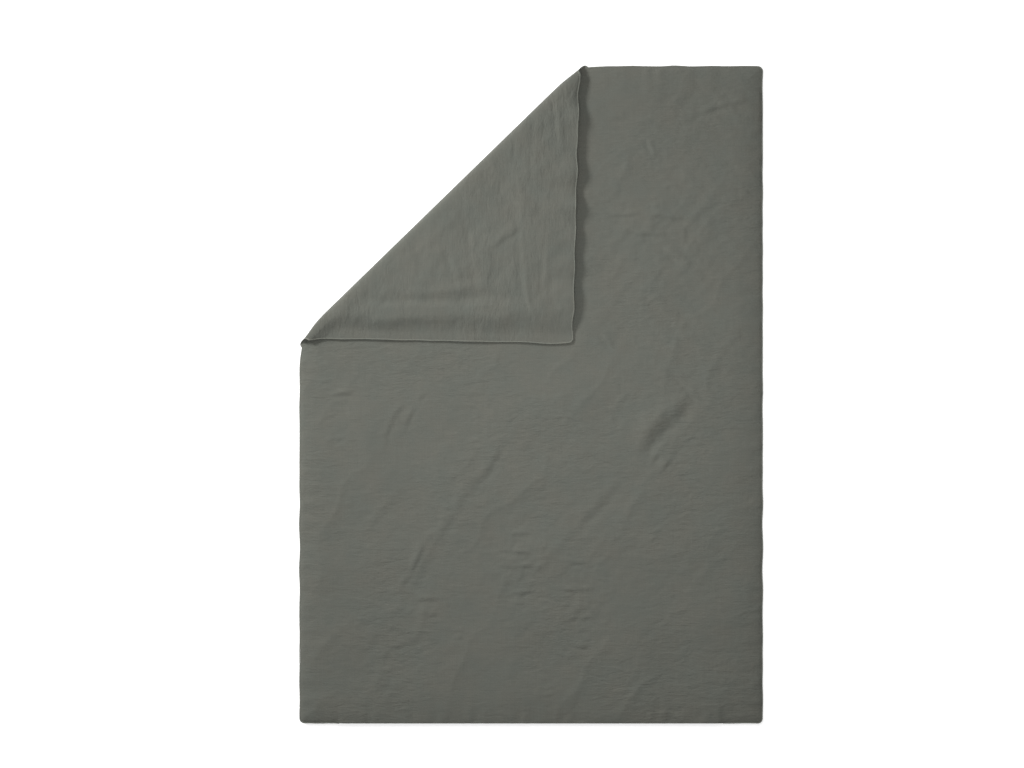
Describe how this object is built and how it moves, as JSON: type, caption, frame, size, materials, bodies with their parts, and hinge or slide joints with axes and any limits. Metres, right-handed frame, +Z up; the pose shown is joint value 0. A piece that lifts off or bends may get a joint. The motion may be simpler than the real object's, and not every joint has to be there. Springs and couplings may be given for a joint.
{
  "type": "duvet",
  "caption": "Quilted duvet in a plain zipped linen cover, lying flat with one head corner folded back over its face.",
  "frame": {"origin": "middle of the footprint, on the surface that the duvet lies on", "axes": "+Y to the head end, +X to the duvet's right as seen from above, +Z up out of its face"},
  "size_m": [1.55, 2.2, 0.065],
  "materials": {
    "cover_linen": "matte",
    "insert_cotton": "matte",
    "fill": "matte",
    "label_tape": "satin",
    "zip_tape": "matte",
    "zip_coil": "satin",
    "zip_metal": "satin"
  },
  "bodies": {
    "duvet": {"cover_top_panel": "cover_linen", "cover_bottom_panel": "cover_linen", "cover_seam_allowance": "cover_linen", "cover_corner_ties": "cover_linen", "care_label": "label_tape", "cover_foot_hem_top": "cover_linen", "cover_foot_hem_bottom": "cover_linen", "zip_tape_top": "zip_tape", "zip_tape_bottom": "zip_tape", "zip_coil_top": "zip_coil", "zip_coil_bottom": "zip_coil", "zip_bottom_stop": "zip_metal", "zip_top_stops": "zip_metal", "insert_top_shell": "insert_cotton", "insert_bottom_shell": "insert_cotton", "insert_baffles_long": "insert_cotton", "insert_baffles_cross": "insert_cotton", "insert_fill_row_1": "fill", "insert_fill_row_2": "fill", "insert_fill_row_3": "fill", "insert_fill_row_4": "fill", "insert_fill_row_5": "fill", "insert_fill_row_6": "fill", "insert_edge_piping": "insert_cotton", "insert_corner_loops": "insert_cotton"},
    "corner": {"corner_cover_top_panel": "cover_linen", "corner_cover_bottom_panel": "cover_linen", "corner_seam_allowance": "cover_linen", "corner_tie": "cover_linen", "corner_insert_top_shell": "insert_cotton", "corner_insert_bottom_shell": "insert_cotton", "corner_baffles": "insert_cotton", "corner_fill": "fill", "corner_edge_piping": "insert_cotton", "corner_loop": "insert_cotton"},
    "zip_slider": {"zip_slider_body": "zip_metal"},
    "zip_pull": {"zip_pull_tab": "zip_metal"}
  },
  "joints": [
    {"name": "corner_fold", "type": "hinge", "parent": "duvet", "child": "corner", "pos_m": [-0.307, 0.645, 0.0325], "axis": [-0.717, -0.6971, 0], "range_deg": [0, 179.9]},
    {"name": "zip_travel", "type": "slide", "parent": "duvet", "child": "zip_slider", "axis": [-1, 0, 0], "range_m": [0, 1.2195], "deforming": ["zip_coil_top", "zip_coil_bottom"]},
    {"name": "pull_swing", "type": "hinge", "parent": "zip_slider", "child": "zip_pull", "pos_m": [0.61, -1.097, 0.016], "axis": [0, 0, 1], "range_deg": [0, 180]}
  ]
}
